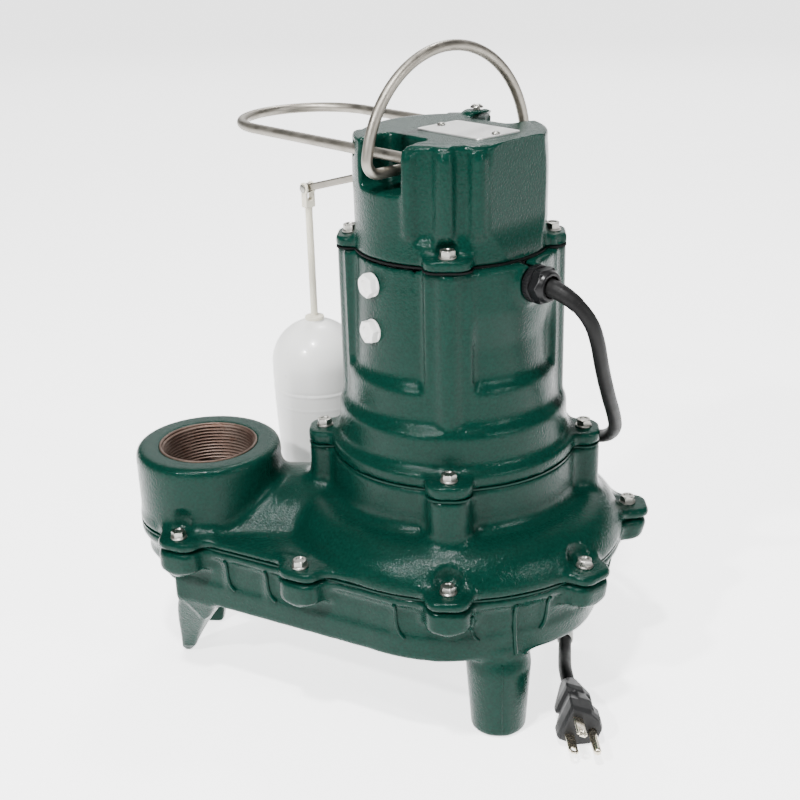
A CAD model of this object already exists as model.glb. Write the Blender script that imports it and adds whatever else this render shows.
import math

import bpy
import numpy as np
import openvdb
from mathutils import Matrix, Vector
from mathutils.bvhtree import BVHTree


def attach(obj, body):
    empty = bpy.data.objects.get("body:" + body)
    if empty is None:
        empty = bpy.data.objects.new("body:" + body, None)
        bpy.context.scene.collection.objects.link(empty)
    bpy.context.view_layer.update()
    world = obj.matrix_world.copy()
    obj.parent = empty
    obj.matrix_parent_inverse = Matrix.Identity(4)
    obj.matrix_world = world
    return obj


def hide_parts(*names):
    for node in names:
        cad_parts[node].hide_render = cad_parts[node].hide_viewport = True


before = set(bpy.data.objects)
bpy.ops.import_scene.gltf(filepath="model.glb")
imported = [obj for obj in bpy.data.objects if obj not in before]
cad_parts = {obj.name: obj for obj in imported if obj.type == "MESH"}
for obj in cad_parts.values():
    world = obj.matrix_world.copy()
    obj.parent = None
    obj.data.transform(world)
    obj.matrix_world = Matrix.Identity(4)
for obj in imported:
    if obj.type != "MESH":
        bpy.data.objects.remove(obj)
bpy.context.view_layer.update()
material = {}

# Everything is measured in millimetres from the pump shaft, floor at zero, then moved to the row's frame
shaftAt = np.array([42.3264, -8.4055, 0.0])
guardAngle = math.radians(46)
guardDir = np.array([-math.sin(guardAngle), math.cos(guardAngle), 0.0])
bailDir = np.array([math.cos(guardAngle), math.sin(guardAngle), 0.0])
upDir = np.array([0.0, 0.0, 1.0])


def toFrame(points):
    return (np.asarray(points, float) + shaftAt) / 1000.0


# Unit vector, or one of the length, at an angle in degrees from the front towards the right
def heading(degrees, length=1.0):
    turn = math.radians(degrees)
    return np.array([length * math.sin(turn), -length * math.cos(turn)])


view = {
    "place": (27.06, -756.5, 487.2),
    "up": (-0.0013, 0.3762, 0.9266),
    "forward": (-0.0737, 0.9240, -0.3752),
    "lens": 58.64, "sensor": 36, "clip": (0.01, 50),
}


def setCamera():
    data = bpy.data.cameras.new("mainCamera")
    data.lens, data.sensor_width, data.sensor_height = view["lens"], view["sensor"], view["sensor"]
    data.clip_start, data.clip_end = view["clip"]
    camera = bpy.data.objects.new("mainCamera", data)
    bpy.context.scene.collection.objects.link(camera)
    forward = Vector(view["forward"]).normalized()
    right = forward.cross(Vector(view["up"])).normalized()
    up = right.cross(forward)
    turn = Matrix((right, up, -forward)).transposed()
    camera.matrix_world = Matrix.Translation(Vector(toFrame(view["place"]))) @ turn.to_4x4()
    bpy.context.scene.camera = camera


studio = {
    "floorColor": (0.9, 0.9, 0.9), "floorGlow": 2.6, "floorHalf": 30.0, "floorAt": -0.0004,
    "horizon": 0.9, "horizonTop": 0.16, "world": 0.16,
    "lights": [
        # place, aim, width, height, watts
        ((-0.75, -1.05, 1.25), (0.0, 0.0, 0.2), 0.08, 0.08, 30),
        ((1.15, -0.75, 0.85), (0.05, 0.0, 0.2), 0.08, 0.3, 10),
        ((0.1, 0.9, 1.5), (0.0, 0.0, 0.25), 0.3, 0.2, 12),
        ((-0.12, -0.55, 1.5), (0.0, 0.0, 0.2), 0.09, 0.09, 30),
        ((-0.1, 0.1, 2.0), (0.0, 0.0, 0.2), 1.8, 1.6, 9),
        ((0.2, 2.6, 1.5), (0.0, 0.0, 0.2), 3.4, 1.3, 34),
    ],
}


# Each input is set to its value, or linked where that is another node's output
def setInputs(tree, node, inputs):
    for key, value in inputs.items():
        if hasattr(value, "is_linked"):
            tree.links.new(value, node.inputs[key])
        else:
            node.inputs[key].default_value = value
    return node


def rangeNode(tree, value, low, high, toLow, toHigh):
    inputs = {"Value": value, "From Min": low, "From Max": high, "To Min": toLow, "To Max": toHigh}
    return setInputs(tree, tree.nodes.new("ShaderNodeMapRange"), inputs)


# A world that is lighter at the horizon, one rectangular lamp per row, and a floor that glows a little
def setStudio():
    world = bpy.data.worlds.new("studio")
    world.use_nodes = True
    tree = world.node_tree
    coords = tree.nodes.new("ShaderNodeTexCoord").outputs["Generated"]
    toward = setInputs(tree, tree.nodes.new("ShaderNodeSeparateXYZ"), {0: coords})
    fade = rangeNode(tree, toward.outputs["Z"], 0.0, studio["horizonTop"], studio["horizon"], studio["world"])
    fade.interpolation_type = "SMOOTHSTEP"
    setInputs(tree, tree.nodes["Background"], {0: (1, 1, 1, 1), 1: fade.outputs["Result"]})
    bpy.context.scene.world = world
    for i, (place, aim, width, height, watts) in enumerate(studio["lights"]):
        data = bpy.data.lights.new("softbox%d" % i, "AREA")
        data.shape, data.size, data.size_y, data.energy = "RECTANGLE", width, height, watts
        light = bpy.data.objects.new("softbox%d" % i, data)
        light.location = place
        light.rotation_euler = (Vector(aim) - Vector(place)).to_track_quat("-Z", "Y").to_euler()
        bpy.context.scene.collection.objects.link(light)
    corners = np.array([(-1, -1), (1, -1), (1, 1), (-1, 1)]) * studio["floorHalf"]
    mesh = bpy.data.meshes.new("floor")
    mesh.from_pydata([(x, y, studio["floorAt"]) for x, y in corners], [], [(0, 1, 2, 3)])
    floor = bpy.data.objects.new("floor", mesh)
    bpy.context.scene.collection.objects.link(floor)
    paint = newFinish("floorPaint", color=studio["floorColor"], rough=0.9)
    glow = {"Emission Color": (1, 1, 1, 1), "Emission Strength": studio["floorGlow"]}
    setInputs(paint.node_tree, paint.node_tree.nodes["Principled BSDF"], glow)
    floor.data.materials.append(paint)


# Each extra is a noise on Object coordinates: mottle and dust change the colour, grain, peel and fine lift
# the surface, gloss and scratch change the gloss
def newFinish(name, color, rough, metal=0.0, coat=0.0, coatRough=0.1, specular=0.5,
              mottle=None, grain=None, peel=None, fine=None, gloss=None, dust=None, scratch=None):
    made = bpy.data.materials.new(name)
    made.use_nodes = True
    tree = made.node_tree
    shader = setInputs(tree, tree.nodes["Principled BSDF"], {
        "Base Color": (*color, 1), "Roughness": rough, "Metallic": metal, "Coat Weight": coat,
        "Coat Roughness": coatRough, "Specular IOR Level": specular})
    coords = tree.nodes.new("ShaderNodeTexCoord").outputs["Object"]

    def noise(scale, detail=3.0, stretch=None, roughness=0.55):
        source = coords
        if stretch is not None:
            mapping = setInputs(tree, tree.nodes.new("ShaderNodeMapping"), {"Scale": stretch, "Vector": coords})
            source = mapping.outputs["Vector"]
        inputs = {"Scale": scale, "Detail": detail, "Roughness": roughness, "Vector": source}
        return setInputs(tree, tree.nodes.new("ShaderNodeTexNoise"), inputs).outputs["Fac"]

    def remap(*row):
        return rangeNode(tree, *row).outputs["Result"]

    def mixColor(factor, first, second):
        node = tree.nodes.new("ShaderNodeMix")
        node.data_type = "RGBA"
        return setInputs(tree, node, {0: factor, 6: first, 7: (*second, 1)}).outputs[2]

    shade = (*color, 1)
    if mottle:  # scale, other colour, amount
        shade = mixColor(remap(noise(mottle[0], 4.0), 0.35, 0.65, 0.0, mottle[2]), shade, mottle[1])
    if dust:  # scale, colour, threshold, amount
        factor = remap(noise(dust[0], 6.0, roughness=0.7), dust[2], dust[2] + 0.12, 0.0, dust[3])
        shade = mixColor(factor, shade, dust[1])
    if gloss:  # scale, low, high
        rough = remap(noise(gloss[0], 3.0), 0.3, 0.7, *gloss[1:])
    elif scratch:  # scale, stretch, low, high
        rough = remap(noise(scratch[0], 2.0, scratch[1]), 0.3, 0.7, *scratch[2:])
    normal = {}
    for extra in (grain, peel, fine):  # scale, strength, distance, stretch
        if extra:
            height = noise(extra[0], 2.0, *extra[3:])
            bump = setInputs(tree, tree.nodes.new("ShaderNodeBump"),
                             {"Strength": extra[1], "Distance": extra[2], "Height": height, **normal})
            normal = {"Normal": bump.outputs["Normal"]}
    setInputs(tree, shader, {"Base Color": shade, "Roughness": rough, **normal})
    if coat and normal:
        setInputs(tree, shader, {"Coat Normal": normal["Normal"]})
    material[name] = made
    return made


# name: colour, roughness, the nodes that wear it, and what newFinish takes by name
finishes = {
    "greenEnamel": ((0.0005, 0.0152, 0.0101), 0.15, "switch_case motor_housing pump_housing base",
        dict(specular=0.1, mottle=(620, (0.0012, 0.024, 0.0166), 0.8), grain=(520, 0.25, 0.0006),
        peel=(900, 0.75, 0.00036), gloss=(90, 0.11, 0.19))),
    "bareIron": ((0.085, 0.052, 0.04), 0.5, "", dict(metal=0.7, specular=0.3,
        mottle=(70, (0.15, 0.11, 0.09), 0.8), fine=(900, 0.4, 0.0002),
        dust=(140, (0.06, 0.026, 0.015), 0.52, 0.7), gloss=(160, 0.38, 0.62))),
    "stainless": ((0.34, 0.335, 0.31), 0.3, "case_bolts flange_bolts volute_bolts top_screw arm_pin rod_clip",
        dict(metal=1.0, mottle=(200, (0.25, 0.245, 0.22), 0.6), fine=(1500, 0.12, 0.0001),
        gloss=(300, 0.24, 0.42))),
    "drawnWire": ((0.27, 0.252, 0.22), 0.38, "float_arm float_guard bail_handle", dict(metal=1.0,
        mottle=(60, (0.19, 0.175, 0.148), 0.7), fine=(700, 0.3, 0.00015), gloss=(150, 0.34, 0.52))),
    "gasketRubber": ((0.003, 0.0035, 0.0035), 0.7, "case_gasket flange_gasket volute_gasket", dict(specular=0.08,
        fine=(900, 0.3, 0.0002))),
    "blackNylon": ((0.004, 0.004, 0.0045), 0.3, "snap_switch button_bushing cord_gland gland_nut",
        dict(specular=0.2, fine=(800, 0.15, 0.0002), gloss=(120, 0.24, 0.42))),
    "cordJacket": ((0.006, 0.006, 0.0061), 0.42, "power_cord cord_coil", dict(specular=0.1,
        mottle=(60, (0.01, 0.01, 0.0101), 0.5), fine=(1100, 0.22, 0.0002), gloss=(90, 0.38, 0.55))),
    "plugVinyl": ((0.013, 0.0132, 0.0135), 0.42, "plug_body", dict(specular=0.18,
        mottle=(80, (0.019, 0.0192, 0.0195), 0.5), fine=(1400, 0.2, 0.0002), gloss=(120, 0.36, 0.5))),
    "platedBrass": ((0.66, 0.62, 0.52), 0.24, "plug_blades ground_pin", dict(metal=1.0,
        mottle=(300, (0.55, 0.47, 0.33), 0.6), gloss=(300, 0.18, 0.34))),
    "floatPlastic": ((0.8, 0.8, 0.785), 0.3, "float", dict(coat=0.15, mottle=(12, (0.76, 0.76, 0.73), 0.6),
        fine=(260, 0.1, 0.0004), gloss=(50, 0.26, 0.38))),
    "rodPlastic": ((0.66, 0.63, 0.52), 0.4, "float_rod", dict(mottle=(60, (0.58, 0.54, 0.42), 0.6),
        fine=(500, 0.2, 0.0002))),
    "plugWhite": ((0.74, 0.735, 0.72), 0.36, "vent_plugs", dict(mottle=(90, (0.68, 0.67, 0.64), 0.5),
        fine=(700, 0.15, 0.0002))),
    "tieWhite": ((0.6, 0.6, 0.57), 0.45, "coil_tie cord_sleeve", dict(fine=(900, 0.25, 0.0002),
        mottle=(200, (0.5, 0.5, 0.47), 0.6))),
    "plateAluminium": ((0.58, 0.58, 0.57), 0.36, "nameplate nameplate_rivets", dict(metal=0.85,
        mottle=(120, (0.6, 0.6, 0.58), 0.4), fine=(420, 0.16, 0.00012, (1, 14, 1)),
        scratch=(300, (1, 12, 1), 0.28, 0.46))),
    "machinedSteel": ((0.58, 0.59, 0.6), 0.25, "motor_shaft", dict(metal=1.0, fine=(500, 0.25, 0.0001, (1, 1, 9)),
        gloss=(120, 0.18, 0.34))),
    "laminatedSteel": ((0.3, 0.31, 0.32), 0.45, "rotor_core stator_core", dict(metal=0.9,
        fine=(300, 0.5, 0.0002, (0.1, 0.1, 12)), gloss=(90, 0.38, 0.55))),
    "copperCoil": ((0.5, 0.19, 0.08), 0.34, "stator_windings", dict(metal=0.8, fine=(600, 0.6, 0.0003, (1, 1, 4)),
        mottle=(90, (0.36, 0.12, 0.05), 0.6))),
    "impellerBronze": ((0.42, 0.28, 0.12), 0.38, "impeller impeller_nut", dict(metal=0.9,
        grain=(200, 0.3, 0.0006), mottle=(60, (0.32, 0.2, 0.09), 0.6))),
    "bearingChrome": ((0.7, 0.71, 0.73), 0.14, "lower_bearing upper_bearing", dict(metal=1.0,
        fine=(700, 0.08, 0.0001), gloss=(200, 0.1, 0.22))),
    "bracketIron": ((0.22, 0.23, 0.235), 0.5, "bearing_bracket", dict(metal=0.6, grain=(180, 0.5, 0.0006),
        mottle=(50, (0.3, 0.31, 0.31), 0.5))),
    "sealCeramic": ((0.72, 0.7, 0.64), 0.2, "seal_seat", dict(coat=0.4, mottle=(90, (0.66, 0.63, 0.56), 0.4))),
    "sealCarbon": ((0.02, 0.02, 0.022), 0.35, "seal_ring", dict(fine=(1200, 0.15, 0.0001),
        mottle=(100, (0.035, 0.035, 0.036), 0.5))),
    "buttonRed": ((0.26, 0.03, 0.02), 0.3, "switch_button", dict(coat=0.3,
        mottle=(200, (0.2, 0.025, 0.018), 0.5))),
}
nodeFinish = {node: name for name, (_, _, nodes, _) in finishes.items() for node in nodes.split()}
nodeObject = {}
nodeSkin = {}


def makeFinishes():
    for name, (color, rough, _, extras) in finishes.items():
        newFinish(name, color, rough, **extras)
    print("finishes:", len(material))


def dressNodes():
    for name, finish in nodeFinish.items():
        found = bpy.data.objects[name]
        found.data.materials.clear()
        found.data.materials.append(material[finish])
        nodeObject[name] = found
    print("nodes dressed:", len(nodeObject))


# Points in millimetres from the shaft, faces as index rows; edges sharper than the angle are marked sharp
def newPiece(name, points, faces, finish, body="pump", smooth=True, sharp=None):
    mesh = bpy.data.meshes.new(name)
    mesh.from_pydata(toFrame(points).tolist(), [], faces.tolist() if hasattr(faces, "tolist") else faces)
    mesh.polygons.foreach_set("use_smooth", np.full(len(mesh.polygons), smooth))
    mesh.validate()
    mesh.update()
    if sharp is not None:
        mesh.set_sharp_from_angle(angle=math.radians(sharp))
    made = bpy.data.objects.new(name, mesh)
    bpy.context.scene.collection.objects.link(made)
    made.data.materials.append(material[finish])
    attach(made, body)
    return made


def unit(direction):
    return direction / np.linalg.norm(direction)


def circle(count):
    return np.linspace(0, 2 * np.pi, count, endpoint=False)


# Points at the radius and height round the Z axis, arrays broadcast against the angles
def ring(radius, angle, z):
    return np.stack(np.broadcast_arrays(radius * np.cos(angle), radius * np.sin(angle), z), axis=-1)


# Quads between neighbours of a rows by columns grid, wrapping along its columns
def gridFaces(rows, columns, start=0, wrap=True, flip=False):
    r = np.arange(rows - 1)[:, None]
    c = np.arange(columns if wrap else columns - 1)[None, :]
    n = (c + 1) % columns
    quads = np.stack([r * columns + c, r * columns + n, (r + 1) * columns + n, (r + 1) * columns + c], axis=-1)
    quads = quads.reshape(-1, 4) + start
    return quads[:, ::-1] if flip else quads


# The first and the last ring of a grid as two faces
def capFaces(rows, columns):
    return [list(range(columns))[::-1], list(range((rows - 1) * columns, rows * columns))]


# Profile rows are radius, height: each point goes round the Z axis
def lathe(profile, segments):
    profile = np.asarray(profile, float)
    points = ring(profile[:, 0, None], circle(segments), profile[:, 1, None])
    return points.reshape(-1, 3), gridFaces(len(profile), segments)


# Catmull-Rom curve through the points, cut into steps of about the spacing
def smoothPath(points, spacing):
    p = np.asarray(points, float)
    p = np.vstack([2 * p[0] - p[1], p, 2 * p[-1] - p[-2]])
    pieces = []
    for i in range(1, len(p) - 2):
        steps = max(2, int(round(np.linalg.norm(p[i + 1] - p[i]) / spacing)))
        t = np.linspace(0, 1, steps, endpoint=False)[:, None]
        pieces.append(0.5 * (2 * p[i] + (p[i + 1] - p[i - 1]) * t
                             + (2 * p[i - 1] - 5 * p[i] + 4 * p[i + 1] - p[i + 2]) * t ** 2
                             + (3 * p[i] - p[i - 1] - 3 * p[i + 1] + p[i + 2]) * t ** 3))
    return np.vstack(pieces + [p[-2:-1]])


# Circle of the radius carried square to the path, its frame turned as little as possible
def sweep(path, radius, sides):
    path = np.asarray(path, float)
    along = np.gradient(path, axis=0)
    along /= np.linalg.norm(along, axis=1)[:, None]
    up = np.array([0.31, 0.17, 0.93])  # no path starts along this
    ups = []
    for t in along:
        up = unit(up - up.dot(t) * t)
        ups.append(up)
    ups = np.array(ups)
    across = np.cross(along, ups)
    a = circle(sides)
    radius = np.broadcast_to(np.asarray(radius, float), (len(path),))
    points = path[:, None] + radius[:, None, None] * (np.cos(a)[None, :, None] * ups[:, None]
                                                       + np.sin(a)[None, :, None] * across[:, None])
    return points.reshape(-1, 3), gridFaces(len(path), sides).tolist() + capFaces(len(path), sides)


# Points on local axes put onto three directions at a place
def turned(points, xDir, yDir, zDir, at):
    points = np.asarray(points, float)
    return points @ np.array([xDir, yDir, zDir], float) + np.asarray(at, float)


# Several point and face lists as one
def joined(parts):
    allPoints, allFaces, start = [], [], 0
    for points, faces in parts:
        allPoints.append(points)
        allFaces += [[i + start for i in f] for f in faces]
        start += len(points)
    return np.vstack(allPoints), allFaces


cord = {
    "diameter": 8.6,
    "glandTurn": 47, "glandHeight": 270.0, "glandReach": 71.0, "glandGrip": 4.0,
    "coilAt": (10.0, 184.5), "coilInner": 34.0, "coilPitch": 9.2, "coilTurns": 3.625,
    "coilLow": 5.8, "coilStep": 9.1, "coilDip": 3.0,
    "drop": [(63.3, -58, 267.8), (72.8, -63, 261.3), (79.9, -63.5, 251.3), (84, -59, 238.5), (86.8, -51.8, 224.5),
             (90, -43, 210), (93.6, -32.5, 195.5), (98, -18.5, 179), (100.8, -3.5, 164.5), (100, 12, 153),
             (96.5, 26.5, 144.5), (90, 41, 138.5), (82, 54.5, 134), (73.2, 67, 130.9), (64, 79, 127.5),
             (56.3, 88.8, 122.3), (51.2, 97, 114.5), (48.5, 104, 104), (47.2, 110, 91), (46.4, 115, 73),
             (46, 118, 56), (45.7, 118.3, 38), (42.2, 118.3, 24.5), (34.5, 118.1, 14.3), (23, 117.7, 7.9)],
    "run": [(77.45, 172, 13.3), (79, 160, 11), (82, 142, 6.5), (84, 122, 4.5), (84.5, 100, 4.4), (82.5, 75, 4.4),
            (79, 50, 4.5), (75.5, 28, 5.4), (74.1, 14, 5.7), (73.2, -2, 5.7), (72.2, -20, 6.6), (71.4, -36, 10),
            (71.4, -46, 12.1)],
    "sleeve": 8,  # the sleeve starts at this point of the run
    "spacing": 4.0, "sides": 14,
}
glandOut = np.array([*heading(cord["glandTurn"]), 0.0])
glandEnd = glandOut * cord["glandReach"] + upDir * cord["glandHeight"]
plug = {"at": (77.5, -107.5, 12.7), "turn": -84.0, "roll": -21.7, "length": 46.0, "lead": 6.0}
pinForm = {"radius": 2.4, "root": -9.0, "tip": 20.0, "off": 7.3}
sleeveForm = {"inner": 4.37, "edge": 5.0, "outer": 5.28, "ripple": 0.2, "pitch": 1.6, "from": 3.0, "to": 13.0}
reliefForm = {"from": 2.0, "to": 27.0, "radius": 5.6, "slope": 0.045}


# Two flat spirals, one on the other: the radius falls with the angle, the height steps up by a cosine over
# half a turn at the middle, and the radius grows again
def coilLine():
    turns, pitch = cord["coilTurns"], cord["coilPitch"]
    t = np.linspace(0, 2 * turns + 0.5, int((2 * turns + 0.5) * 40) + 1)
    inside = (t > turns) & (t < turns + 0.5)
    climb = np.where(t <= turns, 0, np.where(inside, (1 - np.cos((t - turns) * 2 * np.pi)) / 2, 1))
    dip = np.where(inside, cord["coilDip"] * np.sin((t - turns) * 2 * np.pi), 0)
    radius = cord["coilInner"] - dip + pitch * np.where(t < turns, turns - t, np.maximum(0, t - turns - 0.5))
    angle = -np.pi / 2 - 2 * np.pi * t
    return ring(radius, angle, cord["coilLow"] + cord["coilStep"] * climb) + (*cord["coilAt"], 0)


def plugAxes():
    turn, roll = math.radians(plug["turn"]), math.radians(plug["roll"])
    along = np.array([math.cos(turn), math.sin(turn), 0])
    side = np.array([-math.sin(turn), math.cos(turn), 0])
    yDir = side * math.cos(roll) + upDir * math.sin(roll)
    zDir = upDir * math.cos(roll) - side * math.sin(roll)
    return along, yDir, zDir


# Ground pin with a round nose, ribbed sleeve on the cord (radius + ripple * sin of the height), and the
# tapered strain relief at the gland
def makeCordEnds(path):
    along, yDir, zDir = plugAxes()
    r, root, tip = pinForm["radius"], pinForm["root"], pinForm["tip"]
    nose = [(r * math.cos(a), tip - r + r * math.sin(a)) for a in np.linspace(0, np.pi / 2, 10)[:-1]]
    points, faces = lathe([(0.01, root), (r, root), (r, 0.0)] + nose + [(0.01, tip)], 40)
    points = turned(points, yDir, zDir, along, np.array(plug["at"]) + yDir * pinForm["off"])
    pin = newPiece("groundPin", points, faces, "platedBrass", sharp=40)
    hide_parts("ground_pin")
    first, second = np.array(cord["run"][cord["sleeve"]:cord["sleeve"] + 2], float)
    ahead = unit((second - first) * (1, 1, 0))
    f = sleeveForm
    z = np.linspace(f["from"] + 0.1, f["to"] - 0.1, 60)
    outer = f["outer"] + f["ripple"] * np.sin(z * 2 * np.pi / f["pitch"])
    profile = ([(f["inner"], f["from"]), (f["edge"], f["from"])] + list(zip(outer, z))
               + [(f["edge"], f["to"]), (f["inner"], f["to"]), (f["inner"], f["from"])])
    points, faces = lathe(profile, 48)
    sleeve = newPiece("cordSleeve", turned(points, np.cross(upDir, ahead), upDir, ahead, first), faces, "tieWhite")
    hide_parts("cord_sleeve")
    reach = np.concatenate([[0], np.cumsum(np.linalg.norm(np.diff(path, axis=0), axis=1))])
    steps = np.linspace(reliefForm["from"], reliefForm["to"], 76)
    line = np.stack([np.interp(steps, reach, path[:, k]) for k in range(3)], axis=1)
    radius = reliefForm["radius"] - (steps - reliefForm["from"]) * reliefForm["slope"]
    radius[-1] = cord["diameter"] / 2 + 0.1
    relief = newPiece("strainRelief", *sweep(line, radius, 32), "cordJacket")
    return [pin, sleeve, relief]


gland = {
    "around": 240, "knurl": 0.28, "teeth": 20, "low": -4.5, "high": -0.9,
    "profile": [(0.01, -9.0), (8.8, -9.0), (8.8, -4.9), (10.4, -4.9), (10.95, -4.4), (11.0, -3.9),
                (11.0, -1.2), (10.7, -0.6), (9.9, -0.4), (9.9, -0.02), (0.01, -0.02)],
}


# Collar turned round the cord's exit, its radius rippled by the angle for the knurl
def makeGlandBody():
    angle = circle(gland["around"])
    knurl = gland["knurl"] * np.abs(np.sin(angle * gland["teeth"]))
    rows = []
    for r, z in gland["profile"]:
        radius = r - (knurl if gland["low"] < z < gland["high"] else 0 * knurl)
        rows.append(ring(radius, angle, z))
    points = turned(np.vstack(rows), np.cross(upDir, glandOut), upDir, glandOut, glandEnd)
    made = newPiece("glandCollar", points, gridFaces(len(rows), gland["around"]), "blackNylon", sharp=35)
    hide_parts("cord_gland")


# Half the fork's width, and the pin's radius
hookPin = {"half": 4.0, "radius": 1.6}


# Hook pin through the rod's fork: a head at one side and a dished clip at the other
def makeHookPin():
    out = np.cross(guardDir, upDir)
    half, r = hookPin["half"], hookPin["radius"]
    profile = [(0.01, -half - 1.0), (2.3, -half - 1.0), (2.75, -half - 0.7), (2.75, -half - 0.25),
               (r + 0.02, -half - 0.1), (r, half + 0.1), (2.9, half + 0.15), (3.0, half + 0.6),
               (2.0, half + 0.95), (r, half + 1.0), (0.01, half + 1.0)]
    points, faces = lathe(profile, 40)
    at = guardDir * floater["reach"] + upDir * floater["hook"]
    points = turned(points, guardDir, upDir, out, at)
    made = newPiece("hookPin", points, faces, "stainless", body="float_assembly", sharp=35)
    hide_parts("rod_clip")


# One line from the gland down the drop, through the coil and along the run to the plug
def makeCord():
    coilPoints = coilLine()
    along = plugAxes()[0]
    back = np.array(plug["at"]) - along * plug["length"]
    drop = [glandEnd, glandEnd + glandOut * cord["glandGrip"]] + cord["drop"] + [coilPoints[0]]
    run = [coilPoints[-1]] + cord["run"] + [back - along * plug["lead"], back]
    path = np.vstack([smoothPath(drop, cord["spacing"])[:-1], coilPoints[:-1], smoothPath(run, cord["spacing"])])
    made = newPiece("powerCord", *sweep(path, cord["diameter"] / 2, cord["sides"]), "cordJacket")
    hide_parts("power_cord", "cord_coil")
    pieces = [nodeSkin[n] for n in ("plug_body", "plug_blades", "coil_tie")] + makeCordEnds(path)


castings = {
    # node: voxel, fillet of the inner corners, rounding of the edges, all in millimetres, and its body
    "switch_case": (1.05, 2.6, 0.75, "pump"),
    "motor_housing": (1.35, 3.4, 0.8, "pump"),
    "pump_housing": (1.4, 6.0, 0.9, "pump"),
    "base": (1.5, 3.0, 0.8, "pump"),
    "gland_nut": (0.3, 0.4, 0.45, "pump"),
    "plug_body": (0.38, 1.6, 0.8, "pump"),
    "plug_blades": (0.22, 0.2, 0.3, "pump"),
    "coil_tie": (0.35, 0.4, 0.4, "pump"),
    "float_arm": (0.3, 0.8, 0.8, "float_lever"),
    "float_rod": (0.28, 0.5, 0.4, "float_assembly"),
}
collarAt = (-159.0, 5.0)
port = {"low": 120.0, "high": 149.5, "bore": 28.3, "ring": 30.8}


def readRows(items, key, width, kind):
    values = np.empty(len(items) * width, kind)
    items.foreach_get(key, values)
    return values.reshape(-1, width)


# Vertices in millimetres from the shaft, merged by rounding to a micrometre, and triangles
def nodeArrays(node):
    mesh = nodeObject[node].data.copy()
    mesh.transform(nodeObject[node].matrix_world)
    mesh.calc_loop_triangles()
    points = readRows(mesh.vertices, "co", 3, np.float32) * 1000.0 - shaftAt
    triangles = readRows(mesh.loop_triangles, "vertices", 3, np.int32)
    bpy.data.meshes.remove(mesh)
    points, merged = np.unique(np.round(points, 3), axis=0, return_inverse=True)
    triangles = merged.reshape(-1)[triangles]
    a, b, c = triangles.T
    kept = (a != b) & (b != c) & (a != c)
    return points.astype(np.float32), triangles[kept].astype(np.uint32)


# The surface at a signed distance outside: where the distance to the mesh equals it
def offsetSurface(points, faces, voxel, distance):
    kind = "triangles" if faces.shape[1] == 3 else "quads"
    grid = openvdb.FloatGrid.createLevelSetFromPolygons(
        np.ascontiguousarray(points, np.float32), transform=openvdb.createLinearTransform(voxel),
        halfWidth=abs(distance) / voxel + 3.0, **{kind: np.ascontiguousarray(faces, np.uint32)})
    made = grid.convertToPolygons(isovalue=distance, adaptivity=0.0)
    return made[0], made[2]


# Each vertex moves by share * (mean of its neighbours - itself), with a shrinking and a growing share
def relaxed(points, quads, rounds):
    a, b = quads.reshape(-1), np.roll(quads, -1, axis=1).reshape(-1)
    count = np.bincount(a, minlength=len(points)) + np.bincount(b, minlength=len(points))
    for i in range(rounds * 2):
        total = np.stack([np.bincount(a, points[b, k], len(points)) + np.bincount(b, points[a, k], len(points))
                          for k in range(3)], axis=1)
        points = points + (0.5, -0.52)[i % 2] * (total / count[:, None] - points)
    return points


# Angles of the ears round the scroll; then per node the bolts' centres, the height of the seat and the length
roundEars = (0, 45, 93, 139, 180)
boltPlaces = {
    "case_bolts": ([heading(a, 60) for a in (0, 90, 180, 270)], 289.0, 27.5),
    "flange_bolts": ([heading(a, 81.5) for a in (0, 90, 180, 270)], 163.0, 25.5),
    "volute_bolts": ([heading(a, 111.5) for a in roundEars] + [(-170, -48), (-89, -83), (-170, 59)], 107.0, 20.5),
}


# 0 below low, 1 above high, t * t * (3 - 2 t) between
def smoothStep(low, high, value):
    t = np.clip((value - low) / (high - low), 0, 1)
    return t * t * (3 - 2 * t)


# Radius and angle in degrees, from the front towards the right
def aroundShaft(points, center=(0.0, 0.0)):
    x, y = points[:, 0] - center[0], points[:, 1] - center[1]
    return np.hypot(x, y), np.degrees(np.arctan2(x, -y))


caseForm = {
    "inner": 49.6, "outer": 52.8,  # radius where the outer wall starts and is whole
    "lugs": (-134, 24, 44),  # angle of the lugs, and how far from it the change starts and is whole
    "cone": (2.6, 290, 338),  # widening, from and to a height
    "rimAt": 343.0, "rimWas": 7.0, "rimNow": 3.7, "rimLimit": 57.5,  # the rim's radius before and after
    "grooves": ((-13.5, 6.4), (8.0, 5.2)), "grooveDeep": 2.7, "grooveFrom": (292, 301),  # angle, width
    "flat": (50, 33), "flatAt": 55.6, "flatLean": (3.8, 284, 304), "flatFrom": (283.2, 50),
}


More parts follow.
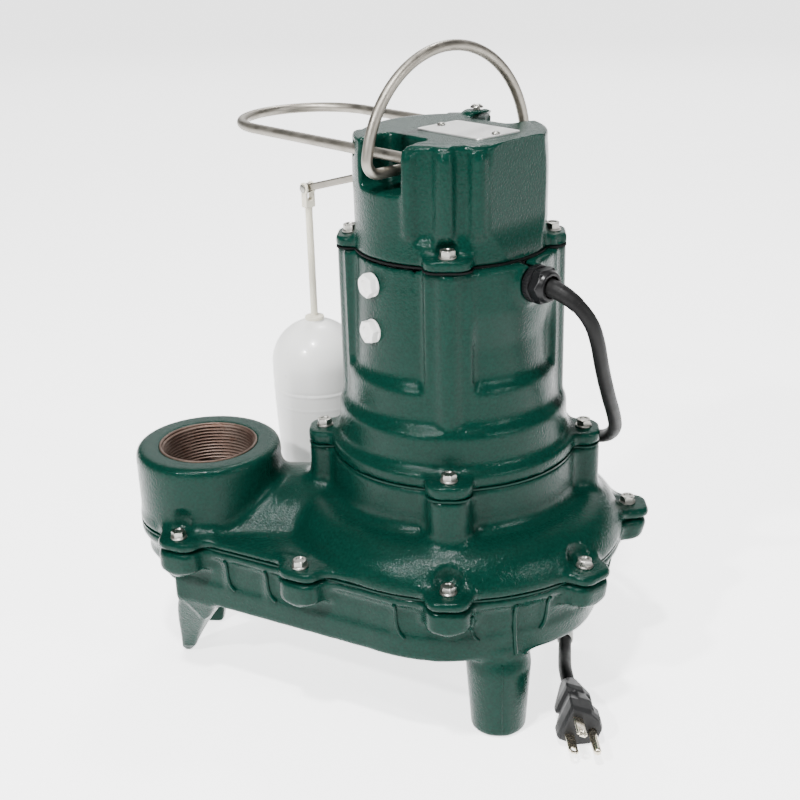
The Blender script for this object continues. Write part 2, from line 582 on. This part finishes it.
# The case's outer wall: the cone widens with the height, the rim's radius halves, two grooves exp(-(angle /
# width) ** 4) leave three flutes, and a plane radius * cos(angle) cuts the front right
def sculptCase(points):
    f = caseForm
    radius, angle = aroundShaft(points)
    z = points[:, 2].copy()
    outer = smoothStep(f["inner"], f["outer"], radius)
    lug, near, far = f["lugs"]
    awayFromLugs = smoothStep(near, far, np.abs((angle - lug + 180) % 360 - 180))
    was = radius.copy()
    amount, low, high = f["cone"]
    radius = radius + amount * outer * awayFromLugs * smoothStep(low, high, z)
    rise, run = z - f["rimAt"], radius - f["inner"]
    onRim = (rise > 0) & (run > 0) & (awayFromLugs > 0.99) & (was < f["rimLimit"])
    share = np.hypot(rise, run) / f["rimWas"]
    turn = np.arctan2(rise, run)
    inwards = f["rimWas"] - f["rimNow"]
    radius = np.where(onRim, f["inner"] + inwards + f["rimNow"] * share * np.cos(turn), radius)
    z = np.where(onRim, f["rimAt"] + inwards + f["rimNow"] * share * np.sin(turn), z)
    groove = sum(np.exp(-((angle - at) / width) ** 4) for at, width in f["grooves"])
    radius = radius - f["grooveDeep"] * groove * outer * smoothStep(*f["grooveFrom"], z)
    (middle, half), (lean, low, high) = f["flat"], f["flatLean"]
    distance = f["flatAt"] - lean * smoothStep(low, high, z)
    plane = distance / np.cos(np.radians(np.clip(angle - middle, -40, 40)))
    onFlat = (np.abs(angle - middle) < half) & (z > f["flatFrom"][0]) & (was > f["flatFrom"][1])
    radius = np.where(onFlat, np.minimum(radius, plane), radius)
    factor = radius / np.maximum(was, 1e-6)
    return np.stack([points[:, 0] * factor, points[:, 1] * factor, z], axis=1)


earForm = {"near": 17.5, "low": 78, "high": 109, "beyond": (-1.0, 8.5)}


# Vertices beyond a bolt's centre move outwards by amount * smoothstep(distance beyond it)
def growEars(points, amount):
    points = points.copy()
    inEar = (points[:, 2] > earForm["low"]) & (points[:, 2] < earForm["high"])
    for place, turn in zip(boltPlaces["volute_bolts"][0], roundEars):
        out = heading(turn)
        reach = points[:, :2] - place
        near = (np.hypot(*reach.T) < earForm["near"]) & inEar
        points[near, :2] += out * (amount * smoothStep(*earForm["beyond"], (reach @ out)[near]))[:, None]
    return points


scrollAt = (1.88, -5.17)
legAt = heading(18.5, 90)
baseForm = {
    "lean": ((4.6, -6, 22), (5.0, 46, 74)),  # amount, and the angles over which it comes in
    "leanEnds": (-205, -150),
    "leanAt": (57.0, 38.0),  # height of the foot of the wall, and the wall's height
    "skirt": (44, 57), "wallFrom": (55, 95),
    "legNear": 26, "legHigh": 56, "legDraw": 0.09, "legBack": 1.6,
    "endShift": 5.0, "endFrom": (-166, -188), "endLow": (2, 62), "endHigh": (78, 87),
    "wedgeAt": (-182.0, -7.0), "wedgeNear": 30, "wedgeDraw": 0.34, "heel": 2.2, "heelFrom": (3.0, 8.0), "heelHigh": 6,
}


# How far the base's wall leans in at its foot, by the angle round the scroll: 0 at the left to 9.6 mm
def baseTaper(angle):
    ends = smoothStep(*baseForm["leanEnds"], -angle)
    first, second = (amount * smoothStep(low, high, angle) * ends for amount, low, high in baseForm["lean"])
    return first + second


# Wall leaning in towards its foot: shift = taper(angle) * (1 - height share). The round leg and the wedge leg
# are drawn in towards the floor, the left end stands further out, and the wedge's heel is lifted
def sculptBase(points):
    f = baseForm
    points = points.copy()
    radius, angle = aroundShaft(points, scrollAt)
    z = points[:, 2]
    foot, high = f["leanAt"]
    lean = baseTaper(angle) * np.clip(1 - (z - foot) / high, 0, 1) * smoothStep(*f["skirt"], z)
    lean = lean * smoothStep(*f["wallFrom"], radius)
    points[:, :2] -= (points[:, :2] - scrollAt) * (lean / np.maximum(radius, 1.0))[:, None]
    down = 1 - np.clip(z / f["legHigh"], 0, 1)
    reach = points[:, :2] - legAt
    nearLeg = (np.hypot(*reach.T) < f["legNear"]) & (z < f["legHigh"])
    points[:, :2] -= reach * np.where(nearLeg, f["legDraw"] * down, 0.0)[:, None]
    points[:, 1] += np.where(nearLeg, f["legBack"] * down, 0.0)
    points[:, 0] -= (f["endShift"] * smoothStep(*f["endFrom"], points[:, 0]) * smoothStep(*f["endLow"], z)
                     * (1 - smoothStep(*f["endHigh"], z)))
    reach = points[:, :2] - f["wedgeAt"]
    near = (np.abs(reach) < f["wedgeNear"]).all(axis=1) & (z < f["legHigh"])
    points[:, :2] -= reach * (f["wedgeDraw"] * np.where(near, down, 0.0))[:, None]
    heel = smoothStep(*f["heelFrom"], np.hypot(*reach.T)) * (1 - np.clip(z / f["heelHigh"], 0, 1))
    points[:, 2] += f["heel"] * np.where(near, heel, 0.0)
    return points


sculpting = {"switch_case": sculptCase, "base": lambda points: growEars(sculptBase(points), 2.4),
             "pump_housing": lambda points: growEars(points, 3.9)}


# The node's shape as a sand casting: grown by the fillet, shrunk by fillet plus rounding, grown back by the
# rounding, so inner corners fill and outer edges round
def castSkin(node):
    voxel, fillet, rounding, body = castings[node]
    points, faces = nodeArrays(node)
    if node == "plug_body":  # a spine over the waist on both faces
        spine, spineFaces = plugSpine()
        points, faces = np.vstack([points, spine]).astype(np.float32), np.vstack([faces, spineFaces + len(points)])
    if node == "pump_housing":  # room for the threaded ring
        reach = points[:, :2] - collarAt
        radius = np.hypot(*reach.T)
        inPort = (np.abs(radius - port["bore"]) < 0.7) & (points[:, 2] > port["low"]) & (points[:, 2] < port["high"])
        points[inPort, :2] = collarAt + reach[inPort] * (port["ring"] / radius[inPort])[:, None]
    for distance in (fillet, -fillet - rounding, rounding):
        points, faces = offsetSurface(points, faces, voxel, distance)
    points, faces = points.astype(float), faces.astype(np.int64)
    if node in sculpting:
        points = sculpting[node](points)
    points = relaxed(points, faces, 3)
    corner = points[faces]
    volume = np.einsum("ij,ij->i", corner[:, 0], np.cross(corner[:, 1], corner[:, 2])).sum()
    made = newPiece(node + "Cast", points, faces if volume > 0 else faces[:, ::-1], nodeFinish[node], body)
    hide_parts(node)
    print(node, "casting", len(faces), "quads")
    return made


# Two long wedges: half width and height at stations along the plug, as triangles round four sides
def plugSpine():
    stations = [(-43.0, 2.6, 6.2), (-34.0, 3.2, 7.4), (-27.0, 3.8, 9.2), (-14.0, 5.4, 12.4), (-6.0, 6.2, 12.3)]
    x, half, high = np.array(stations).T
    along, yDir, zDir = plugAxes()
    parts, faces = [], []
    for side in (1.0, -1.0):
        corners = ((-half, 2.0 + 0 * x), (half, 2.0 + 0 * x), (half * 0.72, high), (-half * 0.72, high))
        points = np.stack([np.stack([x, y, side * z], 1) for y, z in corners], axis=1)
        start = sum(len(part) for part in parts)
        quads = gridFaces(len(x), 4, start=start, flip=side < 0)
        caps = np.array([(0, 3, 2, 1), (16, 17, 18, 19)]) + start
        quads = np.vstack([quads, caps if side > 0 else caps[:, ::-1]])
        faces.append(np.vstack([quads[:, (0, 1, 2)], quads[:, (0, 2, 3)]]))
        parts.append(turned(points.reshape(-1, 3), along, yDir, zDir, plug["at"]))
    return np.vstack(parts), np.vstack(faces).astype(np.uint32)


def makeCastings():
    for node in castings:
        nodeSkin[node] = castSkin(node)


# Half-buried round ridge: each station's ray from the start towards the wall gives the line
def ridgeOn(tree, stations, width):
    line = []
    for start, toward, sink in stations:
        hit = tree.ray_cast(Vector(start), Vector(toward))[0]
        if hit is not None:
            line.append(np.array(hit) - sink * np.array(toward))
    return sweep(smoothPath(np.array(line), 1.0), width, 12)


rayStart, armStart, armTilt = 160, 90, -24.52


# Rays towards a vertical axis from angle, height and how far the ridge stands out
def roundStations(center, rows):
    for angle, z, out in rows:
        x, y = heading(angle)
        yield (center[0] + rayStart * x, center[1] + rayStart * y, z), (-x, -y, 0.0), out


# Rays towards the flat wall under the arm from the length along it, height and how far it stands out
def armStations(rows):
    tilt = math.radians(armTilt)
    for along, z, out in rows:
        x = collarAt[0] + armStart * math.sin(tilt) + along * math.cos(tilt)
        y = collarAt[1] - armStart * math.cos(tilt) + along * math.sin(tilt)
        yield (x, y, z), (-math.sin(tilt), math.cos(tilt), 0.0), out


ribs = {
    "out": (0.3, 0.4, 0.5, 0.5, 0.4),
    "turnsAside": (0, 0, 0.1, 0.4, 1),
    "wall": ((-19, 3.2), (6, 2.6), (33, -2.4), (62, -2.2), (80, -2.2), (110, 2.4), (128, 2.4), (155, 2.4)),
    "wallHeights": (94, 88, 80, 75, 71.6),
    "arm": ((41, 5.0), (71, 5.5)),
    "armHeights": (94, 88, 81, 76, 73.2),
    "legTop": (21, 0.2), "legTopHeights": (94, 85, 73, 66, 58.5), "legTopAside": (0, 0, 1, 2, 3),
    "wide": 1.1, "legTopWide": 1.2, "partingWide": 0.55,
}


# Stations down one rib: it starts at the angle or length and turns aside by its drift as it runs out
def ribRows(rib, heights, aside=ribs["turnsAside"]):
    return [(rib[0] + rib[1] * share, z, out) for share, z, out in zip(aside, heights, ribs["out"])]


# Casting ribs down the base's wall, one down to the round leg, and that leg's parting line
def makeBaseRibs():
    mesh = nodeSkin["base"].data
    points = readRows(mesh.vertices, "co", 3, float) * 1000 - shaftAt
    quads = readRows(mesh.loops, "vertex_index", 1, int).reshape(-1, 4)
    tree = BVHTree.FromPolygons(points.tolist(), quads.tolist())
    parts = [ridgeOn(tree, roundStations(scrollAt, ribRows(rib, ribs["wallHeights"])), ribs["wide"])
             for rib in ribs["wall"]]
    rows = ribRows(ribs["legTop"], ribs["legTopHeights"], ribs["legTopAside"])
    parts.append(ridgeOn(tree, roundStations(scrollAt, rows), ribs["legTopWide"]))
    parts += [ridgeOn(tree, armStations(ribRows(rib, ribs["armHeights"])), ribs["wide"]) for rib in ribs["arm"]]
    rows = [(7, z, 0.1) for z in np.arange(2.0, 54.0, 3.0)]
    parts.append(ridgeOn(tree, roundStations(legAt, rows), ribs["partingWide"]))
    newPiece("baseRibs", *joined(parts), "greenEnamel")


# node: how far its outer edge is drawn in, the radius beyond which an edge is the outer one, and the finish
gasketForms = {
    "case_gasket": (0.4, 50.0, "gasketRubber"),
    "flange_gasket": (0.1, 68.0, "greenEnamel"),
    "volute_gasket": (-0.2, 96.0, "greenEnamel"),
}


# Each gasket's sheet with its outer edge moved along the radius, so a thin line shows at the joint
def makeGaskets():
    for node, (draw, split, finish) in gasketForms.items():
        points, faces = nodeArrays(node)
        radius = np.hypot(points[:, 0], points[:, 1])
        factor = np.where(radius > split, 1 - draw / np.maximum(radius, 1), 1.0)
        points = np.stack([points[:, 0] * factor, points[:, 1] * factor, points[:, 2]], axis=1)
        made = newPiece(node + "Sheet", points, faces.astype(np.int64), finish, smooth=False)
        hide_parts(node)


discharge = {
    "mouth": 149.0, "depth": 25.8, "land": 31.6, "fade": 1.6,
    "crest": 28.3, "pitch": 2.209, "height": 1.35, "taper": 1 / 32,
    "around": 144, "perTurn": 10,
}


# Tapered pipe thread: radius = crest - taper * depth + height * V(turns - angle), inside a bare ring
def makeThread():
    d = discharge
    around = d["around"]
    depth = np.linspace(0, d["depth"] - 0.4, int(d["depth"] / d["pitch"] * d["perTurn"]))
    angle = circle(around)
    phase = (depth[:, None] / d["pitch"] - angle[None, :] / (2 * np.pi)) % 1.0
    ridge = np.clip(1.25 * np.abs(2 * phase - 1) - 0.12, 0, 1)
    fade = np.clip(depth / d["fade"], 0, 1)[:, None]
    radius = d["crest"] + 0.55 - d["taper"] * depth[:, None] + d["height"] * (ridge * fade + (1 - fade)) * 0.9
    inner = ring(radius, angle, d["mouth"] - 0.35 - depth[:, None])
    # closed round the back: out over the land, down behind the wall and in again under the thread
    rim = [(d["crest"] + 2.1, 0.05), (d["crest"] + 2.5, 0.12), (d["land"] - 0.5, 0.12), (d["land"], -0.1),
           (d["land"], -1.6), (d["crest"] + 2.6, -2.4), (d["crest"] + 2.6, -d["depth"])]
    outer = np.array([ring(r, angle, d["mouth"] + z) for r, z in rim])
    points = np.concatenate([inner[::-1], outer], axis=0)
    count = len(points)
    points = points.reshape(-1, 3) + (*collarAt, 0)
    faces = gridFaces(count, around, flip=True).tolist()
    last = (count - 1) * around
    faces += [[last + (i + 1) % around, last + i, i, (i + 1) % around] for i in range(around)]
    newPiece("dischargeThread", points, faces, "bareIron")


bolt = {"shank": 3.1, "washer": 5.2, "across": 8.0, "height": 4.9}


# Hex washer head: radius(angle, z) = the smaller of the hexagon and the turned profile
def boltHead(across, washer, height, shank, length, washerThick=1.4, dish=0.5, rings=96):
    half = across / 2
    corner = half / math.cos(math.pi / 6)
    profile = [(0, -length), (shank * 0.7, -length), (shank, -length + 0.8), (shank, 0), (washer - 0.25, 0),
               (washer, 0.25), (washer - 0.1, washerThick * 0.7), (washer - 0.7, washerThick),
               (corner * 1.02, washerThick + 0.02), (corner * 1.02, washerThick + 0.35),
               (corner * 1.02, height - 1.0), (corner * 0.985, height - 0.55), (half * 0.99, height - 0.12),
               (half * 0.9, height), (half * 0.62, height), (half * 0.52, height - dish), (0, height - dish)]
    angle = circle(rings)
    hexagon = half / np.cos((angle + np.pi / 6) % (np.pi / 3) - np.pi / 6)
    rows = []
    for radius, z in profile:
        inHead = washerThick < z <= height - 0.1
        rows.append(ring(np.minimum(radius, hexagon) if inHead else radius, angle, z))
    return np.vstack(rows), gridFaces(len(profile), rings).tolist()


def makeBolts():
    for node, (places, seat, length) in boltPlaces.items():
        parts = []
        for i, (x, y) in enumerate(places):
            points, faces = boltHead(length=length, **bolt)
            turn = math.radians(17 + 41 * i)  # no two heads alike
            xDir, yDir = (math.cos(turn), math.sin(turn), 0), (-math.sin(turn), math.cos(turn), 0)
            parts.append((turned(points, xDir, yDir, upDir, (x, y, seat)), faces))
        made = newPiece(node + "Heads", *joined(parts), "stainless", sharp=30)
        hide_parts(node)
    print("bolts:", sum(len(v[0]) for v in boltPlaces.values()))


topScrew = {"at": (*heading(161, 46), 352.5), "slot": 0.55, "slotReach": 2.6, "slotDeep": 1.1}


# Pan head with a cross slot cut by pulling the points near the two slots down
def makeTopScrew():
    rings, wide = 96, topScrew["slot"]
    radii = np.array([0.01, 0.4, 0.8, 1.2, 1.6, 2.0, 2.5, 3.0, 3.5, 3.9, 4.05, 4.0])
    heights = 1.6 + 2.9 * np.sqrt(np.clip(1 - (radii / 4.3) ** 2, 0, 1)) - 0.75
    heights[-2:] = (1.7, 1.45)  # the head's rounded edge
    angle = circle(rings)
    x, y = radii[:, None] * np.cos(angle), radii[:, None] * np.sin(angle)
    slot = np.maximum(np.exp(-(x / wide) ** 4), np.exp(-(y / wide) ** 4)) * (radii[:, None] < topScrew["slotReach"])
    top = np.stack([x, y, heights[:, None] - topScrew["slotDeep"] * slot], axis=-1)[::-1]
    under = [(2.1, 1.45), (2.1, -8.5), (1.6, -9), (0.01, -9)]
    low = np.array([ring(r, angle, z) for r, z in under])
    points = np.concatenate([low[::-1], top], axis=0)
    faces = gridFaces(len(points), rings).tolist() + capFaces(len(points), rings)
    made = newPiece("topScrewHead", points.reshape(-1, 3) + topScrew["at"], faces, "stainless", sharp=40)
    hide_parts("top_screw")


vent = {"angle": -50.2, "heights": (267.0, 239.0), "turns": (0.2, 0.75), "face": 57.9}
ventHead = {"across": 12.6, "washer": 7.1, "height": 5.8, "shank": 4.5, "length": 2.1, "washerThick": 1.6,
            "dish": 0.9}


def makeVentPlugs():
    out = np.array([*heading(vent["angle"]), 0])
    side = np.cross(upDir, out)
    parts = []
    for height, turn in zip(vent["heights"], vent["turns"]):
        points, faces = boltHead(**ventHead)
        turnedSide = side * math.cos(turn) + upDir * math.sin(turn)
        points = turned(points, turnedSide, np.cross(out, turnedSide), out, out * vent["face"] + upDir * height)
        parts.append((points, faces))
    made = newPiece("ventPlugHeads", *joined(parts), "plugWhite", sharp=30)
    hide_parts("vent_plugs")


wire = {"radius": 3.2, "bailRadius": 64.0, "bailHeight": 332.0, "bend": 8.0, "flat": 2.0, "pinEnd": 24.0,
        "guardHeight": 340.5, "guardHalf": 45.0, "guardReach": 129.0, "guardTail": 25.0}


# Sweep whose last steps at both ends shrink as a quarter ellipse, so the cut ends are eased
def roundedSweep(path, radius, sides=24, nose=0.9):
    first, last = path[0], path[-1]
    startDir, endDir = unit(first - path[1]), unit(last - path[-2])
    t = np.linspace(0, 1, 5)
    shrink = radius - nose * (1 - np.sqrt(np.clip(1 - t ** 2, 0, 1)))
    ahead = np.sin(t * np.pi / 2)[:, None] * nose
    startPart = first + startDir * ahead - startDir * nose
    endPart = last + endDir * ahead - endDir * nose
    inner = path[(np.linalg.norm(path - first, axis=1) > nose) & (np.linalg.norm(path - last, axis=1) > nose)]
    full = np.vstack([startPart[::-1], inner, endPart])
    radii = np.concatenate([shrink[::-1], np.full(len(inner), radius), shrink])
    return sweep(full, radii, sides)


# Two straight legs joined by half a circle, level, pointing along the guard direction
def makeGuard():
    side = np.cross(upDir, guardDir)
    half, reach = wire["guardHalf"], wire["guardReach"]
    leg = np.linspace(-wire["guardTail"], reach - 2, 60)
    bend = np.linspace(-np.pi / 2, np.pi / 2, 61)
    plan = [(x, -half) for x in leg] + [(reach + half * math.cos(a), half * math.sin(a)) for a in bend]
    plan += [(x, half) for x in leg[::-1]]
    path = np.array([guardDir * x + side * y + upDir * wire["guardHeight"] for x, y in plan])
    made = newPiece("floatGuardWire", *roundedSweep(path, wire["radius"]), "drawnWire")
    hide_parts("float_guard")


# An arch with a small turn at each foot that brings the wire back in to its pins
def makeBail():
    r, bend, flat = wire["bailRadius"], wire["bend"], wire["flat"]
    lean = math.asin(bend / math.hypot(r - bend, flat)) + math.atan(flat / (r - bend))
    corner = (r - bend) * math.cos(lean) + flat * math.sin(lean)
    arch = np.linspace(lean, np.pi - lean, 121)
    points = [(r * math.cos(a), r * math.sin(a)) for a in arch]
    turn = np.linspace(lean, -np.pi / 2, 22)
    foot = [(corner + bend * math.cos(a), bend + bend * math.sin(a)) for a in turn]
    pin = [(x, 0.0) for x in np.linspace(corner - 1.0, wire["pinEnd"], 18)]
    plan = (foot + pin)[::-1] + points[1:-1] + [(-x, y) for x, y in foot + pin]
    path = np.array([bailDir * x + upDir * (wire["bailHeight"] + y) for x, y in plan])
    made = newPiece("bailWire", *roundedSweep(path, wire["radius"]), "drawnWire", body="bail")
    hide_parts("bail_handle")


floater = {
    "reach": 137.0, "hook": 294.0, "rod": 92.0, "radius": 31.0, "foot": 28.4, "height": 118.0,
    "dome": 0.97, "corner": 9.0, "bulge": 1.15, "around": 96,
    "seams": ((0.32, -47.0, 0.7), (-0.16, -45.2, 0.9), (0.2, -57.5, 0.6)),  # height out, at, half width
    "neck": [(6.6, -0.9), (6.5, 1.6), (5.9, 2.4), (3.2, 2.6), (0.01, 2.6)],
}


# Moulded float: dome, long taper, rounded foot, a weld seam under the dome and a neck for the rod
def makeFloat():
    f = floater
    dome, corner, low, around = f["radius"] * f["dome"], f["corner"], -f["height"], f["around"]
    top = [(f["radius"] * math.cos(a), -dome + dome * math.sin(a)) for a in np.linspace(0, np.pi / 2, 26)[1:-2]]
    foot = [(f["foot"] - corner + corner * math.cos(a), low + corner + corner * math.sin(a))
            for a in np.linspace(-np.pi / 2, 0, 12)]
    z = np.linspace(low + corner + 1, -dome - 0.2, 90)
    share = (z - z[0]) / (z[-1] - z[0])
    radius = f["foot"] + (f["radius"] - f["foot"]) * np.sin(share * np.pi / 2) ** f["bulge"]
    seam = sum(out * np.exp(-((z - at) / half) ** 2) for out, at, half in f["seams"])
    profile = [(0.01, low + 1.6), (8, low + 1.4), (13, low + 0.3)] + foot
    profile += list(zip(radius + seam, z)) + top + f["neck"]
    points, faces = lathe(profile, around)
    at = guardDir * f["reach"] + upDir * (f["hook"] - f["rod"])
    faces = faces.tolist() + capFaces(len(profile), around)
    made = newPiece("floatBody", points + at, faces, "floatPlastic", body="float_assembly", sharp=50)
    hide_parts("float")


plate = {"length": 52.0, "width": 34.0, "thick": 0.8, "corner": 3.0, "columns": 132, "rows": 88,
         "along": -15.0, "seat": 350.0, "rivets": 22.0}


# A blank plate: rounded outline, raised bead round its edge; height over the plate is a function of the
# distance from its edge
def makeNameplate():
    rows, columns, corner = plate["rows"], plate["columns"], plate["corner"]
    halfLength, halfWidth = plate["length"] / 2, plate["width"] / 2
    flatX, flatY = halfLength - corner, halfWidth - corner
    x, y = np.meshgrid(np.linspace(-1, 1, columns) * halfLength, np.linspace(-1, 1, rows) * halfWidth)
    # squeeze the grid's corners onto the rounded outline
    cx, cy = np.clip(np.abs(x) - flatX, 0, None), np.clip(np.abs(y) - flatY, 0, None)
    dist = np.hypot(cx, cy)
    scale = np.where(dist > 1e-6, np.maximum(cx, cy) / np.maximum(dist, 1e-6), 1.0)
    x = np.sign(x) * (np.minimum(np.abs(x), flatX) + cx * scale)
    y = np.sign(y) * (np.minimum(np.abs(y), flatY) + cy * scale)
    cx, cy = np.abs(x) - flatX, np.abs(y) - flatY
    edge = corner - (np.hypot(np.clip(cx, 0, None), np.clip(cy, 0, None)) + np.minimum(np.maximum(cx, cy), 0))
    height = plate["thick"] - 0.25 * np.exp(-(edge / 0.25) ** 2) - 0.16 * np.clip((edge - 1.6) / 0.4, 0, 1)
    local = np.vstack([np.stack([x, y, z], axis=-1).reshape(-1, 3) for z in (height, np.zeros_like(x))])
    count = rows * columns
    faces = gridFaces(rows, columns, wrap=False).tolist()
    faces += gridFaces(rows, columns, start=count, wrap=False, flip=True).tolist()
    index = np.arange(count).reshape(rows, columns)
    border = np.concatenate([index[0, :], index[1:, -1], index[-1, -2::-1], index[-2:0:-1, 0]])
    after = np.roll(border, -1)
    faces += np.stack([border, border + count, after + count, after], axis=1).tolist()
    at = guardDir * plate["along"] + upDir * plate["seat"]
    world = turned(local, guardDir, np.cross(upDir, guardDir), upDir, at)
    made = newPiece("blankPlate", world, faces, "plateAluminium", sharp=60)
    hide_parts("nameplate")
    profile = [(0.01, -0.8), (1.2, -0.8), (1.2, 0), (2.35, 0.0), (2.45, 0.25), (2.2, 0.75), (1.6, 1.15), (0.9, 1.35),
               (0.01, 1.4)]
    rivet, rivetFaces = lathe(profile, 40)
    rivetFaces = rivetFaces.tolist() + capFaces(len(profile), 40)
    parts = []
    for side in (-1, 1):
        at = guardDir * (side * plate["rivets"] + plate["along"]) + upDir * (plate["seat"] + plate["thick"])
        parts.append((rivet + at, rivetFaces))
    rivets = newPiece("plateRivets", *joined(parts), "stainless")
    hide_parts("nameplate_rivets")


makeFinishes()
dressNodes()
setCamera()
setStudio()
makeCastings()
makeCord()
makeGlandBody()
makeBaseRibs()
makeGaskets()
makeThread()
makeBolts()
makeTopScrew()
makeVentPlugs()
makeGuard()
makeBail()
makeFloat()
makeHookPin()
makeNameplate()
